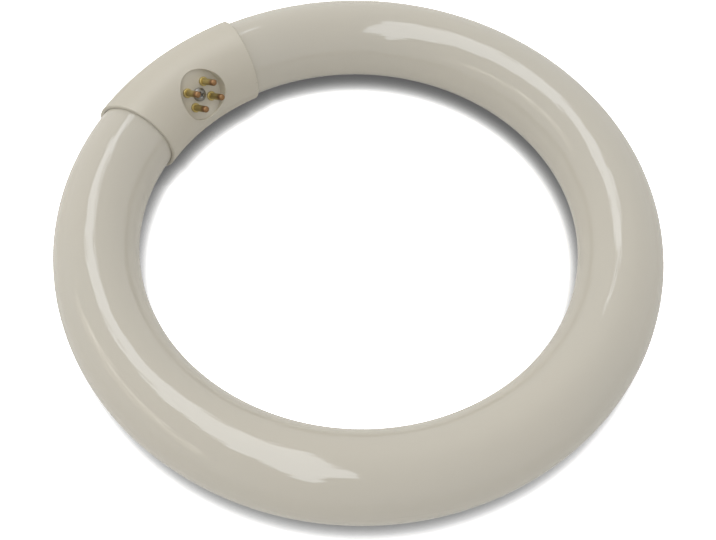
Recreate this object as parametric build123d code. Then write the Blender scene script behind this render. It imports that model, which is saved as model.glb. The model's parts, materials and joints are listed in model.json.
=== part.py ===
from build123d import *
import math
import os

# Circular fluorescent tube: a white-coated glass tube bent into a ring, its two sealed ends brought
# together inside a moulded cap, with four contact pins that point inward and up out of the cap.
# Sizes are in millimetres. The ring lies level, the origin is the centre of the ring on the level of the
# tube's own centreline, +Z is up on the side that the pins lean to, and +Y points to the middle of the cap.

# Ring and glass
ring_outside_diameter = 209.6
tube_diameter = 28.6
shoulder_radius = 4.0        # rounding where the glass turns in at each end
rim_width = 6.5              # from the outside of the glass to the mouth of the stem
lip_radius = 2.2             # rounding where the rim turns into the stem
stem_depth = 14.0            # how far the stem is drawn back into the tube
stem_floor_radius = 4.4
exhaust_radius = 2.3         # small tube that the lamp was pumped through, sealed off
exhaust_length = 3.2         # its straight part, past the end of the glass
exhaust_tip = 2.0            # the drawn tip beyond that
exhaust_bead_radius = 0.9    # end of that tip

# Cap
cap_length = 53.4            # along the centreline of the tube
cap_wall = 1.2
glass_clearance = 0.15       # between the glass and the inside of the cap
cap_edge_radius = 0.5
pin_tilt = 33.0              # degrees from the plane of the ring up to the axis of the pins
lap = 1.2                    # overlap of the two shells along their parting
lap_clearance = 0.1
end_clearance = 0.2          # between the ends of the glass and the cup of the recess
rib_thickness = 1.0
rib_reach = 2.6              # from the outside of the glass towards its middle
rib_clearance = 0.25         # between a rib and the end of the glass

# Recess for the pins
recess_radius = 9.2
recess_depth = 3.65          # below the outside of the cap, in the middle of the recess
recess_wall = 1.2
recess_edge_radius = 0.3
floor_thickness = 2.2

# Pins
pin_pitch_along = 7.92
pin_pitch_across = 6.35
pin_diameter = 2.4
pin_length = 7.6             # beyond the collar
pin_tip_radius = 0.9
collar_diameter = 3.5
collar_thickness = 0.8
rivet_diameter = 3.2         # tail of the pin, spread under the floor
rivet_thickness = 0.5
tail_diameter = 2.0
tail_length = 3.3            # below the floor
wire_bore_radius = 0.5
wire_bore_end = 1.6          # solid metal left at the tip of the pin
pin_fit = 0.05               # around the pin in the floor

# Clamp screw and its bosses
screw_diameter = 2.8
screw_length = 20.0          # below the head
screw_point = 1.4
head_diameter = 5.0
head_height = 1.7
head_rim = 0.7               # straight side of the head, below its dome
drive_width = 0.75           # arms of the cross recess
drive_span = 2.9
drive_depth = 0.95
thread_fit = 0.05            # around the thread in the back boss
screw_clearance = 0.2        # around the screw in the front shell
spacer_diameter = 6.0        # short boss under the floor of the recess
spacer_length = 4.8
boss_diameter = 6.4          # boss of the back shell, which meets the spacer
pilot_clearance = 1.0        # below the point of the screw
gusset_thickness = 1.0
gusset_reach = 9.0
gusset_drop = 3.5            # top of the gussets, below the centreline of the tube

# Lead wires
wire_radius = 0.3
wire_bend_radius = 2.5
wire_insertion = 3.5         # into the bore of the pin
wire_seat = 0.1              # from the floor of the stem

# Worked out from the sizes above
tube_radius = tube_diameter / 2
ring_radius = (ring_outside_diameter - tube_diameter) / 2
cap_inner_radius = tube_radius + glass_clearance
cap_radius = cap_inner_radius + cap_wall
lap_radius = cap_inner_radius + cap_wall / 2
cap_half_angle = math.degrees(cap_length / 2 / ring_radius)
cup_radius = recess_radius + recess_wall
inner_reach = ring_radius - tube_radius
end_angle = math.degrees(
    math.asin((cup_radius + end_clearance) / math.hypot(inner_reach, shoulder_radius))
    + math.atan(shoulder_radius / inner_reach)
)
mouth_radius = tube_radius - rim_width
floor_level = cap_radius - recess_depth
floor_underside = floor_level - floor_thickness
boss_top = floor_underside - spacer_length
screw_end = floor_level - screw_length
beyond = 2 * cap_radius      # long enough to pass right through the cap


def ring_plane(angle):
    """Plane across the tube at an angle from the middle of the cap, counter-clockwise seen from above.

    Its x runs inward to the centre of the ring, its y up and its z along the tube.
    """
    turn = math.radians(angle)
    return Plane(
        origin=(-ring_radius * math.sin(turn), ring_radius * math.cos(turn), 0),
        x_dir=(math.sin(turn), -math.cos(turn), 0),
        z_dir=(-math.cos(turn), -math.sin(turn), 0),
    )


def along_ring(section, start, end):
    """Sweep a flat section round the ring's axis between two angles."""
    return revolve(ring_plane(start) * section, Axis.Z, end - start)


def pin_plane(side=0.0):
    """Plane whose z is the axis of the pins, x along the cap and y out over its top.

    It is level with the centreline of the tube, turned round the ring by an angle if one is given.
    """
    tilt = math.radians(pin_tilt)
    middle = Plane(
        origin=(0, ring_radius, 0),
        x_dir=(1, 0, 0),
        z_dir=(0, -math.cos(tilt), math.sin(tilt)),
    )
    return Plane(Rot(0, 0, side) * middle.location)


def end_plane(side):
    """Plane of one sealed end of the glass, facing out of the glass. side is 1 or -1."""
    bend = ring_plane(side * end_angle)
    outward = -side * bend.z_dir
    return Plane(origin=bend.origin + outward * shoulder_radius, x_dir=bend.x_dir, z_dir=outward)


def half_plane(edge):
    """Everything in a section on the pins' side of a line, at a distance from the centreline."""
    return Rot(0, 0, pin_tilt) * Pos(edge + beyond / 2, 0) * Rectangle(beyond, 2 * beyond)


def pin_places():
    """The four pins, as multiples of half a pitch: (along, across)."""
    return [(-1, 1), (1, 1), (1, -1), (-1, -1)]


def make_glass():
    """Sealed tube: ring of glass, rounded shoulders, drawn-in stems and sealed exhaust tubes."""
    glass = along_ring(Circle(tube_radius), end_angle, 360 - end_angle)
    for side in (1, -1):
        glass += end_plane(side) * shoulder()
    for side in (1, -1):
        glass -= end_plane(side) * stem_hollow()
    for side in (1, -1):
        glass += end_plane(side) * exhaust_tube()
    return glass


def turned(outline):
    """Revolve an outline drawn as (radius, height) about its own axis."""
    return revolve(Plane.XZ * outline, Axis.Z)


def corner_at(outline, x, y):
    """The corner of an outline nearest to a point."""
    return outline.vertices().sort_by_distance((x, y, 0))[0]


def shoulder():
    """Short straight end of the tube with its rounded edge, up to the end face at height 0."""
    disc = Pos(tube_radius / 2, -shoulder_radius / 2) * Rectangle(tube_radius, shoulder_radius)
    return turned(fillet(corner_at(disc, tube_radius, 0), shoulder_radius))


def stem_hollow():
    """Funnel drawn back into the tube, flared to meet the end face."""
    outline = make_face(
        Polyline(
            (0, -stem_depth),
            (stem_floor_radius, -stem_depth),
            (mouth_radius, 0),
            (tube_radius, 0),
            (tube_radius, rim_width),
            (0, rim_width),
            close=True,
        )
    )
    return turned(fillet(corner_at(outline, mouth_radius, 0), lip_radius))


def exhaust_tube():
    """Small tube left after pumping, from the floor of the stem to its drawn and sealed tip."""
    end = exhaust_length + exhaust_tip
    outline = make_face(
        Polyline(
            (0, -stem_depth - exhaust_radius),
            (exhaust_radius, -stem_depth - exhaust_radius),
            (exhaust_radius, exhaust_length),
            (exhaust_bead_radius, end),
            (0, end),
            close=True,
        )
    )
    outline = fillet(corner_at(outline, exhaust_radius, exhaust_length), exhaust_radius)
    return turned(fillet(corner_at(outline, exhaust_bead_radius, end), exhaust_bead_radius / 2))


def locating_ribs():
    """Flat ring across the bore of the cap in front of each end of the glass."""
    upright = (Align.CENTER, Align.CENTER, Align.MIN)
    ring = Cylinder(beyond, rib_thickness, align=upright)
    ring -= Cylinder(tube_radius - rib_reach, rib_thickness, align=upright)
    return [end_plane(side) * Pos(0, 0, rib_clearance) * ring for side in (1, -1)]


def bore():
    """The bore of the cap, which follows the glass."""
    return along_ring(Circle(cap_inner_radius), -cap_half_angle - 1, cap_half_angle + 1)


def round_cap_ends(shell):
    """Ease the outer edge at both ends of a shell."""
    edges = shell.edges().filter_by(GeomType.CIRCLE)
    outer = edges.filter_by(lambda edge: abs(edge.radius - cap_radius) < 0.01)
    return fillet(outer, cap_edge_radius)


def make_front_shell():
    """Shell that carries the pins: skin, cup of the recess with its floor, spacer and outer lap."""
    half = Circle(cap_radius) & half_plane(0)
    lip = (Circle(cap_radius) - Circle(lap_radius + lap_clearance / 2)) & half_plane(-lap)
    shell = round_cap_ends(along_ring(half + lip, -cap_half_angle, cap_half_angle)) - bore()
    inside = along_ring(Circle(lap_radius) & half_plane(0), -cap_half_angle, cap_half_angle)
    frame = pin_plane()
    upright = (Align.CENTER, Align.CENTER, Align.MIN)
    cup = frame * Pos(0, 0, floor_underside) * Cylinder(cup_radius, beyond, align=upright)
    spacer = frame * Pos(0, 0, boss_top) * Cylinder(spacer_diameter / 2, beyond, align=upright)
    for feature in [cup, *locating_ribs()]:
        shell += feature & inside
    shell += spacer & inside
    shell -= frame * Pos(0, 0, floor_level) * Cylinder(recess_radius, beyond, align=upright)
    shell = fillet(shell.edges().filter_by(at_recess_rim), recess_edge_radius)
    shell -= frame * Cylinder(screw_diameter / 2 + screw_clearance, beyond, align=upright)
    for along, across in pin_places():
        hole = Cylinder(pin_diameter / 2 + pin_fit, beyond, align=upright)
        shell -= frame * Pos(along * pin_pitch_along / 2, across * pin_pitch_across / 2) * hole
    return shell


def at_recess_rim(edge):
    """True for the saddle-shaped edge where the recess opens in the outside of the cap."""
    place = pin_plane().to_local_coords(edge.position_at(0.5))
    on_wall = abs(math.hypot(place.X, place.Y) - recess_radius) < 0.05
    return on_wall and place.Z > floor_level + 0.1 and edge.geom_type != GeomType.CIRCLE


def make_back_shell():
    """Shell away from the pins: skin with its inner tongue, screw boss and two gussets."""
    half = Circle(cap_radius) - half_plane(-lap - lap_clearance)
    tongue = Circle(lap_radius - lap_clearance / 2) - half_plane(-lap_clearance)
    shell = round_cap_ends(along_ring(half + tongue, -cap_half_angle, cap_half_angle)) - bore()
    within = Circle(lap_radius - lap_clearance)
    inside = along_ring(within - half_plane(-lap_clearance), -cap_half_angle, cap_half_angle)
    frame = pin_plane()
    hanging = (Align.CENTER, Align.CENTER, Align.MAX)
    boss = frame * Pos(0, 0, boss_top) * Cylinder(boss_diameter / 2, beyond, align=hanging)
    gusset = frame * Pos(0, 0, -gusset_drop) * Box(
        gusset_thickness, 2 * gusset_reach, beyond, align=hanging
    )
    for feature in [gusset, *locating_ribs()]:
        shell += feature & inside
    shell += boss & along_ring(within, -cap_half_angle, cap_half_angle)
    pilot_depth = boss_top - screw_end + pilot_clearance
    pilot = Cylinder(screw_diameter / 2 + thread_fit, pilot_depth, align=hanging)
    return shell - frame * Pos(0, 0, boss_top) * pilot


def make_pin():
    """One hollow brass pin, turned about its own z, measured from the centreline of the tube."""
    radius = pin_diameter / 2
    tip = floor_level + collar_thickness + pin_length
    bore_end = tip - wire_bore_end
    outline = Polyline(
        (0, bore_end),
        (wire_bore_radius, bore_end),
        (wire_bore_radius, floor_underside - tail_length),
        (tail_diameter / 2, floor_underside - tail_length),
        (tail_diameter / 2, floor_underside - rivet_thickness),
        (rivet_diameter / 2, floor_underside - rivet_thickness),
        (rivet_diameter / 2, floor_underside),
        (radius, floor_underside),
        (radius, floor_level),
        (collar_diameter / 2, floor_level),
        (collar_diameter / 2, floor_level + collar_thickness),
        (radius, floor_level + collar_thickness),
        (radius, tip),
        (0, tip),
        close=True,
    )
    pin = turned(make_face(outline))
    tip_edge = pin.edges().filter_by(GeomType.CIRCLE).sort_by(Axis.Z)[-1]
    pin = fillet(tip_edge, pin_tip_radius)
    collar_edge = pin.edges().filter_by(
        lambda edge: edge.geom_type == GeomType.CIRCLE
        and abs(edge.radius - collar_diameter / 2) < 0.01
        and edge.center().Z > floor_level + collar_thickness / 2
    )
    return fillet(collar_edge, collar_thickness / 3)


def make_screw():
    """Pan head with a cross recess, on a plain core at the thread's outside diameter."""
    radius = screw_diameter / 2
    side = Polyline(
        (0, floor_level + head_height),
        (0, screw_end),
        (radius / 2, screw_end),
        (radius, screw_end + screw_point),
        (radius, floor_level),
        (head_diameter / 2, floor_level),
        (head_diameter / 2, floor_level + head_rim),
    )
    dome = ThreePointArc(
        (head_diameter / 2, floor_level + head_rim),
        (head_diameter * 0.32, floor_level + head_rim + (head_height - head_rim) * 0.66),
        (0, floor_level + head_height),
    )
    screw = turned(make_face(side + dome))
    top = floor_level + head_height
    for turn in (0, 90):
        foot = Rectangle(drive_width * 0.7, drive_span * 0.4)
        mouth = Rectangle(drive_width * 1.3, drive_span * 1.6)
        slot = loft([Pos(0, 0, top - drive_depth) * foot, Pos(0, 0, top + drive_depth) * mouth])
        screw -= Rot(0, 0, turn) * slot
    return screw


def make_wire(along, across):
    """Lead wire from the floor of the nearer stem, round one bend and up into its pin."""
    side = -along
    stem = pin_plane(side * end_angle)
    run = stem_depth - shoulder_radius - wire_seat
    start = stem.from_local_coords((along * run, across * pin_pitch_across / 2, 0))
    frame = pin_plane()
    x = along * pin_pitch_along / 2
    y = across * pin_pitch_across / 2
    corner = frame.from_local_coords((x, y, 0))
    end = frame.from_local_coords((x, y, floor_underside - tail_length + wire_insertion))
    path = FilletPolyline(start, corner, end, radius=wire_bend_radius)
    section = Plane(origin=path @ 0, z_dir=path % 0) * Circle(wire_radius)
    return sweep(section, path=path)


def main():
    os.makedirs("parts", exist_ok=True)
    nodes = {
        "glass_tube": make_glass(),
        "cap_front_shell": make_front_shell(),
        "cap_back_shell": make_back_shell(),
        "clamp_screw": pin_plane() * make_screw(),
    }
    pin = make_pin()
    for number, (along, across) in enumerate(pin_places(), 1):
        place = Pos(along * pin_pitch_along / 2, across * pin_pitch_across / 2)
        nodes[f"contact_pin_{number}"] = pin_plane() * place * pin
        nodes[f"lead_wire_{number}"] = make_wire(along, across)
    for name, solid in nodes.items():
        solid.label = name
        export_step(solid, f"parts/{name}.step")


main()
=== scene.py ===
"""Looks of a circular fluorescent tube: a white-coated glass ring, its cap, contact pins and clamp screw.

Everything is in metres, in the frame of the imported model: the origin is the centre of the ring on the level
of the tube's centreline, +Z is up and +Y points to the middle of the cap.
"""

import json
import logging
import math
from dataclasses import dataclass, field
from enum import Enum
from typing import Any, Optional

import bpy
from mathutils import Matrix, Vector


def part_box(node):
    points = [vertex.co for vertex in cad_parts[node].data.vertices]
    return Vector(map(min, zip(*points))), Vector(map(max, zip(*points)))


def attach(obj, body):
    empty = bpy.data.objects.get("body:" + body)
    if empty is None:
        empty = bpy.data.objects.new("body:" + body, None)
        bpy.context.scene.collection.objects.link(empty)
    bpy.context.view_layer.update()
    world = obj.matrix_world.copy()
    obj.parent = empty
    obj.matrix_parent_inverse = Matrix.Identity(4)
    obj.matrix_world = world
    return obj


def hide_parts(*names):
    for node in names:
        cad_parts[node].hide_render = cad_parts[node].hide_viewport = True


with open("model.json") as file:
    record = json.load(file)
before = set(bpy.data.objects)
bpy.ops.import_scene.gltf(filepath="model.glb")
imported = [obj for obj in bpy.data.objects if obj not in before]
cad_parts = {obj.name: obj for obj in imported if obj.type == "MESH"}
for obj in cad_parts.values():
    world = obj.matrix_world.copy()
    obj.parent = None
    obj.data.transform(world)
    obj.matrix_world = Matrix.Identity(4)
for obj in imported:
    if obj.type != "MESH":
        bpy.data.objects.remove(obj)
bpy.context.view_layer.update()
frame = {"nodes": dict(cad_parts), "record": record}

MM = 0.001
BODY = "root"
# Least and most roughness of a worked metal, as parts of its middle one.
SMOOTHEST = 0.8
ROUGHEST = 1.25
log = logging.getLogger("circular_tube")


def linear(colour: str, alpha: float = 1.0) -> tuple[float, float, float, float]:
    """Turn an sRGB hex colour into linear values.

    Args:
        colour: Six hex digits after a hash.
        alpha: Fourth value of the result.

    Returns:
        Linear red, green and blue, then alpha.
    """
    parts = [int(colour[place:place + 2], 16) / 255 for place in (1, 3, 5)]
    red, green, blue = (
        part / 12.92 if part <= 0.04045 else ((part + 0.055) / 1.055) ** 2.4 for part in parts
    )
    return red, green, blue, alpha


def add_node(
    tree: bpy.types.NodeTree,
    kind: str,
    settings: Optional[dict[Any, Any]] = None,
    links: Optional[dict[Any, Any]] = None,
) -> bpy.types.Node:
    """Add a node to a tree, set it up and link what it reads.

    Args:
        tree: Shader or geometry tree that gets the node.
        kind: Blender's name of the node type.
        settings: Properties of the node by name, or values of its input sockets by name or number.
        links: Output sockets, by the name or number of the input that reads each.

    Returns:
        The new node.
    """
    node = tree.nodes.new(kind)
    for name, value in (settings or {}).items():
        if isinstance(name, str) and hasattr(node, name):
            setattr(node, name, value)
        else:
            node.inputs[name].default_value = value
    for name, source in (links or {}).items():
        tree.links.new(source, node.inputs[name])
    return node


@dataclass(frozen=True)
class CoatedGlass:
    """Drawn soda-lime glass tube, softened and bent, with a fired white coat inside.

    The coat is matt and slightly warm, and gives the colour. The smooth glass over it gives the sharp, long
    reflections. They waver a little where the tube was bent, and the fine lines that drawing leaves along
    the glass fray their ends. Real lines are finer, and are drawn as coarse as they need to show.
    """

    name: str = "Soda_lime_glass_drawn_white_coat"
    colour: str = "#C6C1B6"
    cooler: str = "#C2BFB6"
    coat_roughness: float = 0.6
    glass_roughness: float = 0.035
    glass_ior: float = 1.52
    cloud_size: float = 60 * MM
    cloud_detail: float = 2.0
    line_width: float = 0.9 * MM
    line_length: float = 18 * MM
    line_depth: float = 0.06 * MM
    line_detail: float = 1.0
    waver_size: float = 22 * MM
    waver_depth: float = 0.3 * MM
    waver_detail: float = 0.0

    def make(self, ring_radius: float) -> bpy.types.Material:
        """Build the material.

        Args:
            ring_radius: Radius of the tube's centreline.

        Returns:
            The material.
        """
        material, tree, surface = new_material(self.name)
        place = add_node(tree, "ShaderNodeTexCoord").outputs["Object"]
        cloud = add_node(
            tree, "ShaderNodeTexNoise",
            {"Scale": 1 / self.cloud_size, "Detail": self.cloud_detail},
            {"Vector": place},
        )
        tint = add_node(
            tree, "ShaderNodeMix",
            {"data_type": "RGBA", 6: linear(self.colour), 7: linear(self.cooler)},
            {0: cloud.outputs["Fac"]},
        )
        waver = add_node(
            tree, "ShaderNodeTexNoise",
            {"Scale": 1 / self.waver_size, "Detail": self.waver_detail},
            {"Vector": place},
        )
        lines = add_node(
            tree, "ShaderNodeTexNoise",
            {"Scale": 1 / self.line_width, "Detail": self.line_detail},
            {"Vector": self.drawn_place(tree, place, ring_radius)},
        )
        wavering = add_node(
            tree, "ShaderNodeBump", {"Distance": self.waver_depth}, {"Height": waver.outputs["Fac"]},
        )
        lined = add_node(
            tree, "ShaderNodeBump",
            {"Distance": self.line_depth},
            {"Height": lines.outputs["Fac"], "Normal": wavering.outputs["Normal"]},
        )
        tree.links.new(tint.outputs[2], surface.inputs["Base Color"])
        tree.links.new(lined.outputs["Normal"], surface.inputs["Coat Normal"])
        set_surface(
            surface,
            {
                "Roughness": self.coat_roughness,
                "Specular IOR Level": 0.0,
                "Coat Weight": 1.0,
                "Coat Roughness": self.glass_roughness,
                "Coat IOR": self.glass_ior,
            },
        )
        return material

    def drawn_place(
        self, tree: bpy.types.NodeTree, place: bpy.types.NodeSocket, ring_radius: float
    ) -> bpy.types.NodeSocket:
        """Unroll the ring, so that a pattern on the result lies in lines along the tube.

        Args:
            tree: Tree of the material.
            place: Object coordinates.
            ring_radius: Radius of the tube's centreline.

        Returns:
            Distance from the ring's axis, height, and the way round the ring from opposite the cap,
            shortened so that a pattern's grain is drawn out along it.
        """
        apart = add_node(tree, "ShaderNodeSeparateXYZ", links={0: place})
        level = add_node(
            tree, "ShaderNodeVectorMath", {"operation": "MULTIPLY", 1: (1.0, 1.0, 0.0)}, {0: place},
        )
        outward = add_node(tree, "ShaderNodeVectorMath", {"operation": "LENGTH"}, {0: level.outputs[0]})
        opposite = add_node(
            tree, "ShaderNodeMath", {"operation": "MULTIPLY", 1: -1.0}, {0: apart.outputs["Y"]},
        )
        turn = add_node(
            tree, "ShaderNodeMath",
            {"operation": "ARCTAN2"},
            {0: apart.outputs["X"], 1: opposite.outputs[0]},
        )
        along = add_node(
            tree, "ShaderNodeMath",
            {"operation": "MULTIPLY", 1: ring_radius * self.line_width / self.line_length},
            {0: turn.outputs[0]},
        )
        unrolled = add_node(
            tree, "ShaderNodeCombineXYZ",
            links={"X": outward.outputs["Value"], "Y": apart.outputs["Z"], "Z": along.outputs[0]},
        )
        return unrolled.outputs[0]


@dataclass(frozen=True)
class CapPlastic:
    """Moulded PBT of the cap: opaque cream.

    The fine grain of a spark-eroded mould gives it a satin look, with wide, soft highlights. The real grain
    is finer, and is drawn as coarse as it needs to show.
    """

    name: str = "Moulded_PBT_cream_satin"
    colour: str = "#C4BFB3"
    roughness: float = 0.42
    grain_size: float = 0.35 * MM
    grain_detail: float = 3.0
    grain_depth: float = 0.02 * MM
    grain_strength: float = 0.25

    def make(self) -> bpy.types.Material:
        """Build the material.

        Returns:
            The material.
        """
        material, tree, surface = new_material(self.name)
        place = add_node(tree, "ShaderNodeTexCoord")
        grain = add_node(
            tree, "ShaderNodeTexNoise",
            {"Scale": 1 / self.grain_size, "Detail": self.grain_detail},
            {"Vector": place.outputs["Object"]},
        )
        bump = add_node(
            tree, "ShaderNodeBump",
            {"Strength": self.grain_strength, "Distance": self.grain_depth},
            {"Height": grain.outputs["Fac"]},
        )
        set_surface(surface, {"Base Color": linear(self.colour), "Roughness": self.roughness})
        tree.links.new(bump.outputs["Normal"], surface.inputs["Normal"])
        return material


@dataclass(frozen=True)
class TurnedBrass:
    """Free-cutting brass rod, turned, and dulled by handling.

    The metal gives a dim yellow that takes its light and dark from what stands round it. Towards the tips
    its colour turns to a darker brown: painted shade for a dark reflection there. The rings of the turning,
    drawn coarse enough to show, spread its reflections.
    """

    name: str = "Turned_brass_painted_tip_shade"
    colour: str = "#BBAA72"
    # Painted shade: the darker brown that the pins take on towards their tips.
    painted_tip_shade: str = "#8B6B4B"
    roughness: float = 0.46
    ring_width: float = 0.25 * MM
    ring_detail: float = 2.0

    def make(self, axis: Vector, start: float, end: float) -> bpy.types.Material:
        """Build the material.

        Args:
            axis: Direction of the pins, towards their tips.
            start: Place along the axis where the painted tip shade starts.
            end: Place along the axis where it is full.

        Returns:
            The material.
        """
        material, tree, surface = new_material(self.name)
        place = add_node(tree, "ShaderNodeTexCoord")
        along = add_node(
            tree, "ShaderNodeVectorMath",
            {"operation": "DOT_PRODUCT", 1: axis},
            {0: place.outputs["Object"]},
        )
        rings = add_node(
            tree, "ShaderNodeTexNoise",
            {"noise_dimensions": "1D", "Scale": 1 / self.ring_width, "Detail": self.ring_detail},
            {"W": along.outputs["Value"]},
        )
        # Painted shade: the colour turns to the darker brown towards the tips.
        shaded_towards_tips = add_node(
            tree, "ShaderNodeMapRange",
            {"interpolation_type": "SMOOTHSTEP", "From Min": start, "From Max": end},
            {"Value": along.outputs["Value"]},
        )
        tint = add_node(
            tree, "ShaderNodeMix",
            {"data_type": "RGBA", 6: linear(self.colour), 7: linear(self.painted_tip_shade)},
            {0: shaded_towards_tips.outputs["Result"]},
        )
        spread = add_node(
            tree, "ShaderNodeMapRange",
            {"To Min": self.roughness * SMOOTHEST, "To Max": self.roughness * ROUGHEST},
            {"Value": rings.outputs["Fac"]},
        )
        tree.links.new(tint.outputs[2], surface.inputs["Base Color"])
        tree.links.new(spread.outputs["Result"], surface.inputs["Roughness"])
        set_surface(surface, {"Metallic": 1.0})
        return material


@dataclass(frozen=True)
class WorkedMetal:
    """A metal whose fine marks spread its reflections a little unevenly."""

    name: str
    colour: str
    roughness: float
    mark_size: float = 0.3 * MM
    mark_detail: float = 2.0

    def make(self) -> bpy.types.Material:
        """Build the material.

        Returns:
            The material.
        """
        material, tree, surface = new_material(self.name)
        place = add_node(tree, "ShaderNodeTexCoord")
        marks = add_node(
            tree, "ShaderNodeTexNoise",
            {"Scale": 1 / self.mark_size, "Detail": self.mark_detail},
            {"Vector": place.outputs["Object"]},
        )
        spread = add_node(
            tree, "ShaderNodeMapRange",
            {"To Min": self.roughness * SMOOTHEST, "To Max": self.roughness * ROUGHEST},
            {"Value": marks.outputs["Fac"]},
        )
        tree.links.new(spread.outputs["Result"], surface.inputs["Roughness"])
        set_surface(surface, {"Base Color": linear(self.colour), "Metallic": 1.0})
        return material


# Zinc plating over a cold-headed steel screw: a dull grey with soft highlights.
PLATED_STEEL = WorkedMetal("Zinc_plated_steel_headed", "#8B8984", roughness=0.45)
# Drawn copper lead wire, bare: a smooth red metal, slightly dulled.
COPPER_WIRE = WorkedMetal("Drawn_copper_wire_bare", "#C6886A", roughness=0.3)


def new_material(name: str) -> tuple[bpy.types.Material, bpy.types.NodeTree, bpy.types.Node]:
    """Make a material with a Principled surface.

    Args:
        name: Name of the finish.

    Returns:
        The material, its tree and its surface shader.
    """
    material = bpy.data.materials.new(name)
    material.use_nodes = True
    tree = material.node_tree
    return material, tree, tree.nodes["Principled BSDF"]


def set_surface(surface: bpy.types.Node, values: dict[str, Any]) -> None:
    """Set constant values on a surface shader's own sockets.

    Args:
        surface: Principled shader.
        values: Values by the name of the socket.
    """
    for name, value in values.items():
        surface.inputs[name].default_value = value


def dress(piece: bpy.types.Object, material: bpy.types.Material) -> None:
    """Give every material slot of a piece one finish.

    Args:
        piece: Piece to dress.
        material: Its finish.
    """
    if not piece.material_slots:
        piece.data.materials.append(material)
    for place in piece.material_slots:
        place.material = material


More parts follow.
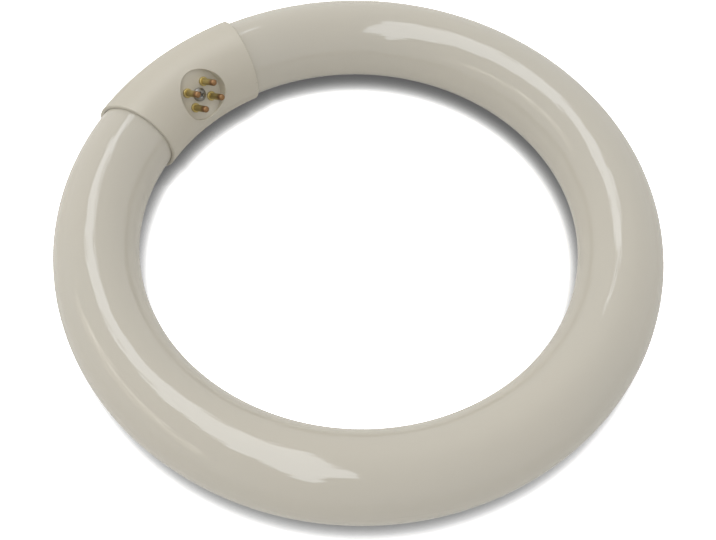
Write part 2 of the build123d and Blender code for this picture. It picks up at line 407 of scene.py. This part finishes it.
@dataclass
class GlassTube:
    """The sealed glass: drawn as a straight tube with both ends formed, then bent into the ring.

    The sizes repeat those of the model, so that the mesh lies on the solid that it stands for.
    """

    ring_radius: float = 90.5 * MM
    tube_radius: float = 14.3 * MM
    shoulder_radius: float = 4.0 * MM
    mouth_radius: float = 7.8 * MM
    lip_radius: float = 2.2 * MM
    stem_floor_radius: float = 4.4 * MM
    stem_floor_fillet: float = 0.8 * MM
    stem_depth: float = 14.0 * MM
    exhaust_radius: float = 2.3 * MM
    exhaust_root_fillet: float = 0.6 * MM
    exhaust_length: float = 3.2 * MM
    exhaust_tip: float = 2.0 * MM
    exhaust_bead: float = 0.9 * MM
    # Radius of the recess's cup in the cap, with the clearance that the ends of the glass keep from it.
    cup_reach: float = 10.6 * MM
    around: int = 128
    along: int = 320
    fillet_steps: int = 7
    merge_distance: float = 0.001 * MM
    finish: CoatedGlass = field(default_factory=CoatedGlass)

    def seal_angle(self) -> float:
        """Work out where the bend of the glass ends, short of the middle of the cap.

        Returns:
            The angle between the two, at the ring's centre.
        """
        reach = self.ring_radius - self.tube_radius
        to_face = math.asin(self.cup_reach / math.hypot(reach, self.shoulder_radius))
        to_bend = math.atan(self.shoulder_radius / reach)
        return to_face + to_bend

    def end_outline(self) -> list[tuple[float, float, float]]:
        """Corners of one formed end, from the shoulder to the sealed tip.

        Returns:
            For each corner its distance past the end of the bend, its radius and its rounding.
        """
        face = self.shoulder_radius
        floor = face - self.stem_depth
        tip = face + self.exhaust_length + self.exhaust_tip
        return [
            (face, self.tube_radius, self.shoulder_radius),
            (face, self.mouth_radius, self.lip_radius),
            (floor, self.stem_floor_radius, self.stem_floor_fillet),
            (floor, self.exhaust_radius, self.exhaust_root_fillet),
            (face + self.exhaust_length, self.exhaust_radius, self.exhaust_radius),
            (tip, self.exhaust_bead, self.exhaust_bead / 2),
            (tip, 0.0, 0.0),
        ]

    def build(self) -> bpy.types.Object:
        """Make the glass, attach it to the model's body, and hide the node that it stands in for.

        Returns:
            The finished piece.
        """
        material = self.finish.make(self.ring_radius)
        tree, sockets = self.rule()
        piece = run_tree("glass_tube_formed", tree, {
            sockets["Ring Radius"]: self.ring_radius,
            sockets["Bend Half Length"]: (math.pi - self.seal_angle()) * self.ring_radius,
            sockets["Around"]: self.around,
            sockets["Along"]: self.along,
            sockets["Fillet Steps"]: self.fillet_steps,
            sockets["Finish"]: material,
        })
        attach(piece, BODY)
        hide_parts("glass_tube")
        return piece

    def rule(self) -> tuple[bpy.types.NodeTree, dict[str, str]]:
        """Write the rule of the tube as a geometry tree.

        Returns:
            The tree, and the identifier of each input by its name.
        """
        tree = bpy.data.node_groups.new("Formed_and_bent_tube", "GeometryNodeTree")
        sockets = {}
        for name, kind in (
            ("Ring Radius", "NodeSocketFloat"),
            ("Bend Half Length", "NodeSocketFloat"),
            ("Around", "NodeSocketInt"),
            ("Along", "NodeSocketInt"),
            ("Fillet Steps", "NodeSocketInt"),
            ("Finish", "NodeSocketMaterial"),
        ):
            sockets[name] = tree.interface.new_socket(name, in_out="INPUT", socket_type=kind).identifier
        tree.interface.new_socket("Geometry", in_out="OUTPUT", socket_type="NodeSocketGeometry")
        inputs = add_node(tree, "NodeGroupInput").outputs
        outline = self.outline_nodes(tree, inputs)
        straight = self.turned_nodes(tree, inputs, outline)
        bent = self.bent_nodes(tree, inputs, straight)
        smooth = add_node(tree, "GeometryNodeSetShadeSmooth", links={"Geometry": bent})
        real = add_node(tree, "GeometryNodeRealizeInstances", links={"Geometry": smooth.outputs[0]})
        dressed = add_node(
            tree, "GeometryNodeSetMaterial",
            links={"Geometry": real.outputs[0], "Material": inputs["Finish"]},
        )
        add_node(tree, "NodeGroupOutput", links={"Geometry": dressed.outputs[0]})
        return tree, sockets

    def outline_nodes(self, tree: bpy.types.NodeTree, inputs: Any) -> bpy.types.NodeSocket:
        """Draw the outline of the straight tube: x along its axis and y outward from it.

        Args:
            tree: Geometry tree.
            inputs: Outputs of the tree's group input.

        Returns:
            The outline as a curve, with its corners rounded and its long side divided.
        """
        corners = self.end_outline()
        count = len(corners)
        half_step = 0.5
        # The points run from one sealed tip to the other. Counted from the middle of the row, both ends
        # have the same corners, and the sign says which end a point belongs to.
        index = add_node(tree, "GeometryNodeInputIndex")
        centred = add_node(
            tree, "ShaderNodeMath",
            {"operation": "SUBTRACT", 1: count - half_step},
            {0: index.outputs[0]},
        )
        side = add_node(tree, "ShaderNodeMath", {"operation": "SIGN"}, {0: centred.outputs[0]})
        apart = add_node(tree, "ShaderNodeMath", {"operation": "ABSOLUTE"}, {0: centred.outputs[0]})
        corner = add_node(tree, "ShaderNodeMath", {"operation": "FLOOR"}, {0: apart.outputs[0]})
        pick = add_node(
            tree, "GeometryNodeIndexSwitch", {"data_type": "VECTOR"}, {"Index": corner.outputs[0]},
        )
        while len(pick.index_switch_items) < count:
            pick.index_switch_items.new()
        for place, row in enumerate(corners):
            pick.inputs[place + 1].default_value = row
        drawn = add_node(tree, "ShaderNodeSeparateXYZ", links={0: pick.outputs[0]})
        reach = add_node(
            tree, "ShaderNodeMath",
            {"operation": "ADD"},
            {0: inputs["Bend Half Length"], 1: drawn.outputs["X"]},
        )
        along = add_node(
            tree, "ShaderNodeMath", {"operation": "MULTIPLY"}, {0: side.outputs[0], 1: reach.outputs[0]},
        )
        position = add_node(
            tree, "ShaderNodeCombineXYZ", links={"X": along.outputs[0], "Y": drawn.outputs["Y"]},
        )
        points = add_node(
            tree, "GeometryNodePoints",
            {"Count": 2 * count},
            {"Position": position.outputs[0]},
        )
        kept = add_node(
            tree, "GeometryNodeStoreNamedAttribute",
            {"data_type": "FLOAT", "domain": "POINT", "Name": "rounding"},
            {"Geometry": points.outputs[0], "Value": drawn.outputs["Z"]},
        )
        curve = add_node(tree, "GeometryNodePointsToCurves", links={"Points": kept.outputs[0]})
        stored = add_node(
            tree, "GeometryNodeInputNamedAttribute",
            {"data_type": "FLOAT", "Name": "rounding"},
        )
        rounded = add_node(
            tree, "GeometryNodeFilletCurve",
            {"mode": "POLY", "Limit Radius": True},
            {"Curve": curve.outputs[0], "Radius": stored.outputs[0], "Count": inputs["Fillet Steps"]},
        )
        # Only the long side is divided. It starts at the last point of the first half of the row.
        parameter = add_node(tree, "GeometryNodeSplineParameter")
        length = add_node(tree, "GeometryNodeSplineLength")
        middle = add_node(
            tree, "ShaderNodeMath",
            {"operation": "MULTIPLY_ADD", 1: 1 / 2, 2: -1.0},
            {0: length.outputs["Point Count"]},
        )
        is_long = add_node(
            tree, "ShaderNodeMath",
            {"operation": "COMPARE", 2: half_step},
            {0: parameter.outputs["Index"], 1: middle.outputs[0]},
        )
        cuts = add_node(
            tree, "ShaderNodeMath", {"operation": "MULTIPLY"}, {0: is_long.outputs[0], 1: inputs["Along"]},
        )
        divided = add_node(
            tree, "GeometryNodeSubdivideCurve",
            links={"Curve": rounded.outputs[0], "Cuts": cuts.outputs[0]},
        )
        return divided.outputs[0]

    def turned_nodes(
        self, tree: bpy.types.NodeTree, inputs: Any, outline: bpy.types.NodeSocket
    ) -> bpy.types.NodeSocket:
        """Turn the outline round its axis into a closed straight tube.

        Args:
            tree: Geometry tree.
            inputs: Outputs of the tree's group input.
            outline: Outline of the straight tube.

        Returns:
            The straight tube as a mesh.
        """
        size = add_node(
            tree, "GeometryNodeAttributeDomainSize", {"component": "CURVE"}, {"Geometry": outline},
        )
        rows = add_node(tree, "ShaderNodeMath", {"operation": "ADD", 1: 1.0}, {0: inputs["Around"]})
        grid = add_node(
            tree, "GeometryNodeMeshGrid",
            links={"Vertices X": size.outputs["Point Count"], "Vertices Y": rows.outputs[0]},
        )
        index = add_node(tree, "GeometryNodeInputIndex")
        passed = add_node(
            tree, "ShaderNodeMath", {"operation": "DIVIDE"}, {0: index.outputs[0], 1: rows.outputs[0]},
        )
        station = add_node(tree, "ShaderNodeMath", {"operation": "FLOOR"}, {0: passed.outputs[0]})
        row = add_node(
            tree, "ShaderNodeMath", {"operation": "MODULO"}, {0: index.outputs[0], 1: rows.outputs[0]},
        )
        step = add_node(
            tree, "ShaderNodeMath", {"operation": "DIVIDE", 0: math.tau}, {1: inputs["Around"]},
        )
        turn = add_node(
            tree, "ShaderNodeMath", {"operation": "MULTIPLY"}, {0: row.outputs[0], 1: step.outputs[0]},
        )
        position = add_node(tree, "GeometryNodeInputPosition")
        drawn = add_node(
            tree, "GeometryNodeSampleIndex",
            {"data_type": "FLOAT_VECTOR", "domain": "POINT"},
            {"Geometry": outline, "Value": position.outputs[0], "Index": station.outputs[0]},
        )
        place = add_node(
            tree, "ShaderNodeVectorRotate",
            {"rotation_type": "X_AXIS"},
            {"Vector": drawn.outputs[0], "Angle": turn.outputs[0]},
        )
        moved = add_node(
            tree, "GeometryNodeSetPosition",
            links={"Geometry": grid.outputs["Mesh"], "Position": place.outputs[0]},
        )
        closed = add_node(
            tree, "GeometryNodeMergeByDistance",
            {"Distance": self.merge_distance},
            {"Geometry": moved.outputs[0]},
        )
        return closed.outputs[0]

    def bent_nodes(
        self, tree: bpy.types.NodeTree, inputs: Any, straight: bpy.types.NodeSocket
    ) -> bpy.types.NodeSocket:
        """Bend the straight tube round the ring, its middle away from the cap and its ends left straight.

        Args:
            tree: Geometry tree.
            inputs: Outputs of the tree's group input.
            straight: Straight tube along x, with y outward and z up.

        Returns:
            The bent tube.
        """
        position = add_node(tree, "GeometryNodeInputPosition")
        apart = add_node(tree, "ShaderNodeSeparateXYZ", links={0: position.outputs[0]})
        half = inputs["Bend Half Length"]
        other_half = add_node(tree, "ShaderNodeMath", {"operation": "MULTIPLY", 1: -1.0}, {0: half})
        bent = add_node(
            tree, "ShaderNodeClamp",
            links={"Value": apart.outputs["X"], "Min": other_half.outputs[0], "Max": half},
        )
        past = add_node(
            tree, "ShaderNodeMath",
            {"operation": "SUBTRACT"},
            {0: apart.outputs["X"], 1: bent.outputs[0]},
        )
        turn = add_node(
            tree, "ShaderNodeMath", {"operation": "DIVIDE"}, {0: bent.outputs[0], 1: inputs["Ring Radius"]},
        )
        outward = add_node(
            tree, "ShaderNodeMath", {"operation": "ADD"}, {0: inputs["Ring Radius"], 1: apart.outputs["Y"]},
        )
        away = add_node(
            tree, "ShaderNodeMath", {"operation": "MULTIPLY", 1: -1.0}, {0: outward.outputs[0]},
        )
        before = add_node(
            tree, "ShaderNodeCombineXYZ",
            links={"X": past.outputs[0], "Y": away.outputs[0], "Z": apart.outputs["Z"]},
        )
        place = add_node(
            tree, "ShaderNodeVectorRotate",
            {"rotation_type": "Z_AXIS"},
            {"Vector": before.outputs[0], "Angle": turn.outputs[0]},
        )
        moved = add_node(
            tree, "GeometryNodeSetPosition", links={"Geometry": straight, "Position": place.outputs[0]},
        )
        return moved.outputs[0]


def run_tree(name: str, tree: bpy.types.NodeTree, values: dict[str, Any]) -> bpy.types.Object:
    """Run a geometry tree and keep its result as a plain mesh at the origin.

    Args:
        name: Name of the piece.
        tree: Geometry tree, whose result is one mesh.
        values: Value of each input by its identifier.

    Returns:
        The piece, with no modifier left.
    """
    carrier = bpy.data.objects.new(name, bpy.data.meshes.new(name))
    bpy.context.scene.collection.objects.link(carrier)
    modifier = carrier.modifiers.new("rule", "NODES")
    modifier.node_group = tree
    for identifier, value in values.items():
        modifier[identifier] = value
    bpy.context.view_layer.update()
    evaluated = carrier.evaluated_get(bpy.context.evaluated_depsgraph_get())
    mesh = bpy.data.meshes.new_from_object(evaluated)
    carrier.modifiers.remove(modifier)
    carrier.data = mesh
    mesh.name = name
    return carrier


@dataclass
class Cap:
    """The moulded cap: the two shells of the model in their plastic."""

    finish: CapPlastic = field(default_factory=CapPlastic)

    def build(self) -> list[bpy.types.Object]:
        """Dress both shells.

        Returns:
            The two shells.
        """
        material = self.finish.make()
        shells = [frame["nodes"][name] for name in ("cap_front_shell", "cap_back_shell")]
        for shell in shells:
            dress(shell, material)
        return shells


@dataclass
class Contacts:
    """What carries the current and clamps the cap: pins, lead wires and the screw."""

    count: int = 4
    # Where the painted shade on the pins' tips starts and where it is full, past the middle of their walls.
    tip_shade_start: float = 0.5 * MM
    tip_shade_end: float = 3.2 * MM
    finish: TurnedBrass = field(default_factory=TurnedBrass)

    def brass(self) -> bpy.types.Material:
        """Make the brass of the pins, with its painted tip shade measured from the middle of their walls.

        Returns:
            The material.
        """
        pin = next(row for row in frame["record"]["mounts"] if row["kind"] == "pin")
        axis = Vector(pin["axis"])
        middle = axis.dot(Vector(pin["pos_m"]))
        return self.finish.make(axis, middle + self.tip_shade_start, middle + self.tip_shade_end)

    def build(self) -> list[bpy.types.Object]:
        """Dress the metal pieces.

        Returns:
            The pins, the wires and the screw.
        """
        brass = self.brass()
        wire = COPPER_WIRE.make()
        pieces = []
        for number in range(1, self.count + 1):
            for name, material in ((f"contact_pin_{number}", brass), (f"lead_wire_{number}", wire)):
                dress(frame["nodes"][name], material)
                pieces.append(frame["nodes"][name])
        dress(frame["nodes"]["clamp_screw"], PLATED_STEEL.make())
        pieces.append(frame["nodes"]["clamp_screw"])
        return pieces


class Use(Enum):
    """What a lamp is hung for."""

    LIGHT = "lights the object and isn't seen in its gloss"
    GLEAM = "is seen in the gloss and lights nothing"


@dataclass(frozen=True)
class Softbox:
    """One level lamp above the object, drawn by its corners.

    The corners are given as the camera's right and away from it, in heights of the lamp above the ring. No
    lamp casts a shadow, so none shades another.
    """

    name: str
    use: Use
    radiance: float
    corners: tuple[tuple[float, float], ...]
    colour: str = "#FFFBF2"
    height: float = 2.0

    def build(self, aside: Matrix) -> bpy.types.Object:
        """Hang the lamp.

        Args:
            aside: Turn about z that puts the lamp's own axes along the camera's.

        Returns:
            The lamp, which the camera itself doesn't see.
        """
        mesh = bpy.data.meshes.new(self.name)
        places = [aside @ Vector((x, y, 1.0)) * self.height for x, y in self.corners]
        mesh.from_pydata(places, [], [list(range(len(places)))])
        material = bpy.data.materials.new(self.name)
        material.use_nodes = True
        tree = material.node_tree
        tree.nodes.clear()
        glow = add_node(
            tree, "ShaderNodeEmission", {"Color": linear(self.colour), "Strength": self.radiance},
        )
        add_node(tree, "ShaderNodeOutputMaterial", links={"Surface": glow.outputs[0]})
        mesh.materials.append(material)
        lamp = bpy.data.objects.new(self.name, mesh)
        lamp.visible_camera = False
        lamp.visible_diffuse = self.use is Use.LIGHT
        lamp.visible_glossy = self.use is Use.GLEAM
        lamp.visible_shadow = False
        bpy.context.scene.collection.objects.link(lamp)
        return lamp


# Each gleam has the outline that gives the long streaks of the photograph on this ring.
LAMPS = (
    Softbox(
        "lamp_overhead", Use.LIGHT, 2.51,
        ((-0.60, 0.80), (-0.05, 0.75), (0.03, -0.50), (-0.10, -0.61), (-0.20, -1.05)),
    ),
    Softbox(
        "lamp_aside", Use.LIGHT, 3.0,
        ((-2.45, 0.60), (-2.10, 0.60), (-1.42, -1.30), (-1.62, -1.35)),
    ),
    Softbox(
        "gleam_window", Use.GLEAM, 4.7,
        (
            (-0.09, 0.71), (-0.04, 0.52), (-0.03, 0.05), (0.03, -0.45), (-0.09, -0.62), (-0.19, -1.00),
            (-0.31, -0.40), (-0.40, 0.02), (-0.45, 0.38), (-0.49, 0.58), (-0.47, 0.75), (-0.38, 0.80),
            (-0.20, 0.77), (-0.11, 0.87),
        ),
        colour="#F6FAFF",
    ),
    Softbox(
        "gleam_aside", Use.GLEAM, 1.8,
        (
            (-2.75, 0.50), (-1.75, 0.45), (-1.60, -0.30), (-1.35, -1.20),
            (-1.30, -2.30), (-1.65, -2.40), (-1.90, -1.30), (-2.30, -0.50),
        ),
    ),
    Softbox(
        "gleam_strip", Use.GLEAM, 3.6,
        (
            (-1.78, 0.22), (-1.58, 0.22), (-1.42, -0.16), (-1.28, -0.50),
            (-1.25, -1.30), (-1.42, -1.30), (-1.48, -0.55), (-1.62, -0.16),
        ),
        height=1.9,
    ),
)


@dataclass
class Studio:
    """Camera, floor and light.

    The floor has one white for the camera's straight view (its own colour and its glow, both darkened close
    to the object by a painted contact shadow, the glow down to a least) and one for reflections. The room's
    slope and bend point along the camera's right, away from the camera, and up.
    """

    image_width: float = 716.0
    focal_pixels: float = 986.6
    sensor_width: float = 36.0
    clip_start: float = 10 * MM
    azimuth: float = math.radians(-139.6)
    elevation: float = math.radians(56.106)
    distance: float = 344.53 * MM
    pitch: float = math.radians(-2.483)
    roll: float = math.radians(2.150)

    floor_half_width: float = 4.0
    cap_contact: float = 90.5 * MM
    glass_contact: float = -90.5 * MM
    floor_colour: str = "#F2F2F2"
    seen_white: tuple[float, float, float] = (1.40, 1.43, 1.50)
    seen_glow: float = 1.0
    seen_least: float = 0.11
    mirrored_white: float = 0.9
    # Reach, strength and samples of the painted contact shadow on the floor.
    contact_reach: float = 8 * MM
    contact_depth: float = 3.0
    contact_samples: int = 16

    room_colour: str = "#FFFEFB"
    room_level: float = 0.434
    room_slope: tuple[float, float, float] = (-0.90, 0.83, 2.56)
    room_bend: tuple[float, float, float] = (1.89, -1.60, -3.10)
    room_least: float = 0.03

    def camera(self) -> bpy.types.Object:
        """Place the camera as the photograph was taken, and make it the scene's.

        Returns:
            The camera.
        """
        aside = self.aside()
        place = aside @ Vector((0, -math.cos(self.elevation), math.sin(self.elevation))) * self.distance
        forward = -place.normalized()
        right = aside @ Vector((1, 0, 0))
        up = right.cross(forward)
        plain = Matrix((right, up, -forward)).transposed()
        turned = plain @ Matrix.Rotation(self.pitch, 3, "X") @ Matrix.Rotation(self.roll, 3, "Z")
        data = bpy.data.cameras.new("camera")
        data.sensor_width = self.sensor_width
        data.lens = self.focal_pixels * self.sensor_width / self.image_width
        data.clip_start = self.clip_start
        camera = bpy.data.objects.new("camera", data)
        camera.matrix_world = Matrix.Translation(place) @ turned.to_4x4()
        bpy.context.scene.collection.objects.link(camera)
        bpy.context.scene.camera = camera
        return camera

    def aside(self) -> Matrix:
        """Turn about z from the camera's right and away directions to the model's axes."""
        return Matrix.Rotation(self.azimuth + math.pi / 2, 3, "Z")

    def floor(self) -> bpy.types.Object:
        """Lay the floor under the cap and the far side of the glass, which both touch it.

        Returns:
            The floor.
        """
        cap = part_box("cap_back_shell")[0]
        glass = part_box("glass_tube")[0]
        rise = (glass.z - cap.z) / (self.glass_contact - self.cap_contact)
        half = self.floor_half_width
        mesh = bpy.data.meshes.new("floor")
        places = [
            (x, y, cap.z + rise * (y - self.cap_contact))
            for x, y in ((-half, -half), (half, -half), (half, half), (-half, half))
        ]
        mesh.from_pydata(places, [], [(0, 1, 2, 3)])
        mesh.materials.append(self.floor_material())
        floor = bpy.data.objects.new("floor", mesh)
        bpy.context.scene.collection.objects.link(floor)
        return floor

    def floor_material(self) -> bpy.types.Material:
        """Make the floor's matt white paper.

        It lights the object as plain paper. Where it is seen it reads as white and keeps the shadow, and
        where it is seen straight it also darkens close to what touches it, as a painted contact shadow drawn
        from how open the floor is nearby. From below it is clear, so that the underside can be looked at.

        Returns:
            The material.
        """
        material = bpy.data.materials.new("Matt_white_paper")
        material.use_nodes = True
        tree = material.node_tree
        tree.nodes.clear()
        path = add_node(tree, "ShaderNodeLightPath")
        # Painted contact shadow: how open the floor is close to the object darkens its seen colour and glow.
        openness = add_node(
            tree, "ShaderNodeAmbientOcclusion",
            {"samples": self.contact_samples, "Distance": self.contact_reach},
        )
        painted_contact_shadow = add_node(
            tree, "ShaderNodeMath",
            {"operation": "POWER", 1: self.contact_depth},
            {0: openness.outputs["AO"]},
        )
        shown = add_node(
            tree, "ShaderNodeVectorMath",
            {"operation": "SCALE", 0: self.seen_white},
            {"Scale": painted_contact_shadow.outputs[0]},
        )
        plain = add_node(tree, "ShaderNodeBsdfDiffuse", {"Color": linear(self.floor_colour)})
        mirrored = add_node(tree, "ShaderNodeBsdfDiffuse", {"Color": (self.mirrored_white,) * 3 + (1.0,)})
        lit = add_node(tree, "ShaderNodeBsdfDiffuse", links={"Color": shown.outputs[0]})
        glow = add_node(
            tree, "ShaderNodeMath",
            {"operation": "MULTIPLY_ADD", 1: self.seen_glow, 2: self.seen_least},
            {0: painted_contact_shadow.outputs[0]},
        )
        glowing = add_node(tree, "ShaderNodeEmission", links={"Strength": glow.outputs[0]})
        seen = add_node(tree, "ShaderNodeAddShader", links={0: lit.outputs[0], 1: glowing.outputs[0]})
        through = add_node(
            tree, "ShaderNodeMath",
            {"operation": "MAXIMUM"},
            {0: path.outputs["Is Glossy Ray"], 1: path.outputs["Is Transmission Ray"]},
        )
        indirect = add_node(
            tree, "ShaderNodeMixShader",
            links={0: through.outputs[0], 1: plain.outputs[0], 2: mirrored.outputs[0]},
        )
        mixed = add_node(
            tree, "ShaderNodeMixShader",
            links={0: path.outputs["Is Camera Ray"], 1: indirect.outputs[0], 2: seen.outputs[0]},
        )
        side = add_node(tree, "ShaderNodeNewGeometry")
        below = add_node(
            tree, "ShaderNodeMath",
            {"operation": "MULTIPLY"},
            {0: side.outputs["Backfacing"], 1: path.outputs["Is Camera Ray"]},
        )
        clear = add_node(tree, "ShaderNodeBsdfTransparent")
        whole = add_node(
            tree, "ShaderNodeMixShader",
            links={0: below.outputs[0], 1: mixed.outputs[0], 2: clear.outputs[0]},
        )
        add_node(tree, "ShaderNodeOutputMaterial", links={"Surface": whole.outputs[0]})
        return material

    def room(self) -> None:
        """Fill the room with soft light that is seen as plain white.

        The light's strength is a level, a slope over the directions, and a bend of that slope with height:
        low down it comes from behind and the left, and higher up more from the front and the right.
        """
        world = bpy.data.worlds.new("plain_room")
        world.use_nodes = True
        bpy.context.scene.world = world
        tree = world.node_tree
        tree.nodes.clear()
        place = add_node(tree, "ShaderNodeTexCoord")
        height = add_node(tree, "ShaderNodeSeparateXYZ", links={0: place.outputs["Generated"]})
        slope = add_node(
            tree, "ShaderNodeVectorMath",
            {"operation": "DOT_PRODUCT", 1: self.aside() @ Vector(self.room_slope)},
            {0: place.outputs["Generated"]},
        )
        bend = add_node(
            tree, "ShaderNodeVectorMath",
            {"operation": "DOT_PRODUCT", 1: self.aside() @ Vector(self.room_bend)},
            {0: place.outputs["Generated"]},
        )
        sloped = add_node(
            tree, "ShaderNodeMath", {"operation": "ADD", 1: self.room_level}, {0: slope.outputs["Value"]},
        )
        both = add_node(
            tree, "ShaderNodeMath",
            {"operation": "MULTIPLY_ADD"},
            {0: bend.outputs["Value"], 1: height.outputs["Z"], 2: sloped.outputs[0]},
        )
        strength = add_node(
            tree, "ShaderNodeMath", {"operation": "MAXIMUM", 1: self.room_least}, {0: both.outputs[0]},
        )
        light = add_node(
            tree, "ShaderNodeBackground",
            {"Color": linear(self.room_colour)},
            {"Strength": strength.outputs[0]},
        )
        white = add_node(tree, "ShaderNodeBackground", {"Color": (1, 1, 1, 1), "Strength": 1.0})
        path = add_node(tree, "ShaderNodeLightPath")
        straight = add_node(
            tree, "ShaderNodeMath",
            {"operation": "MAXIMUM"},
            {0: path.outputs["Is Camera Ray"], 1: path.outputs["Is Glossy Ray"]},
        )
        seen = add_node(
            tree, "ShaderNodeMath",
            {"operation": "MAXIMUM"},
            {0: straight.outputs[0], 1: path.outputs["Is Transmission Ray"]},
        )
        mixed = add_node(
            tree, "ShaderNodeMixShader",
            links={0: seen.outputs[0], 1: light.outputs[0], 2: white.outputs[0]},
        )
        add_node(tree, "ShaderNodeOutputWorld", links={"Surface": mixed.outputs[0]})

    def build(self) -> None:
        """Set up the camera, the lamps, the floor and the room."""
        self.camera()
        for lamp in LAMPS:
            lamp.build(self.aside())
        self.floor()
        self.room()
        bpy.context.scene.view_settings.view_transform = "Standard"


def main() -> None:
    """Build everything in order and report each piece."""
    logging.basicConfig(level=logging.INFO, format="%(message)s")
    Studio().build()
    glass = GlassTube().build()
    for piece in [glass, *Cap().build(), *Contacts().build()]:
        log.info("%s: %d faces", piece.name, len(piece.data.polygons))


if __name__ == "__main__":
    main()
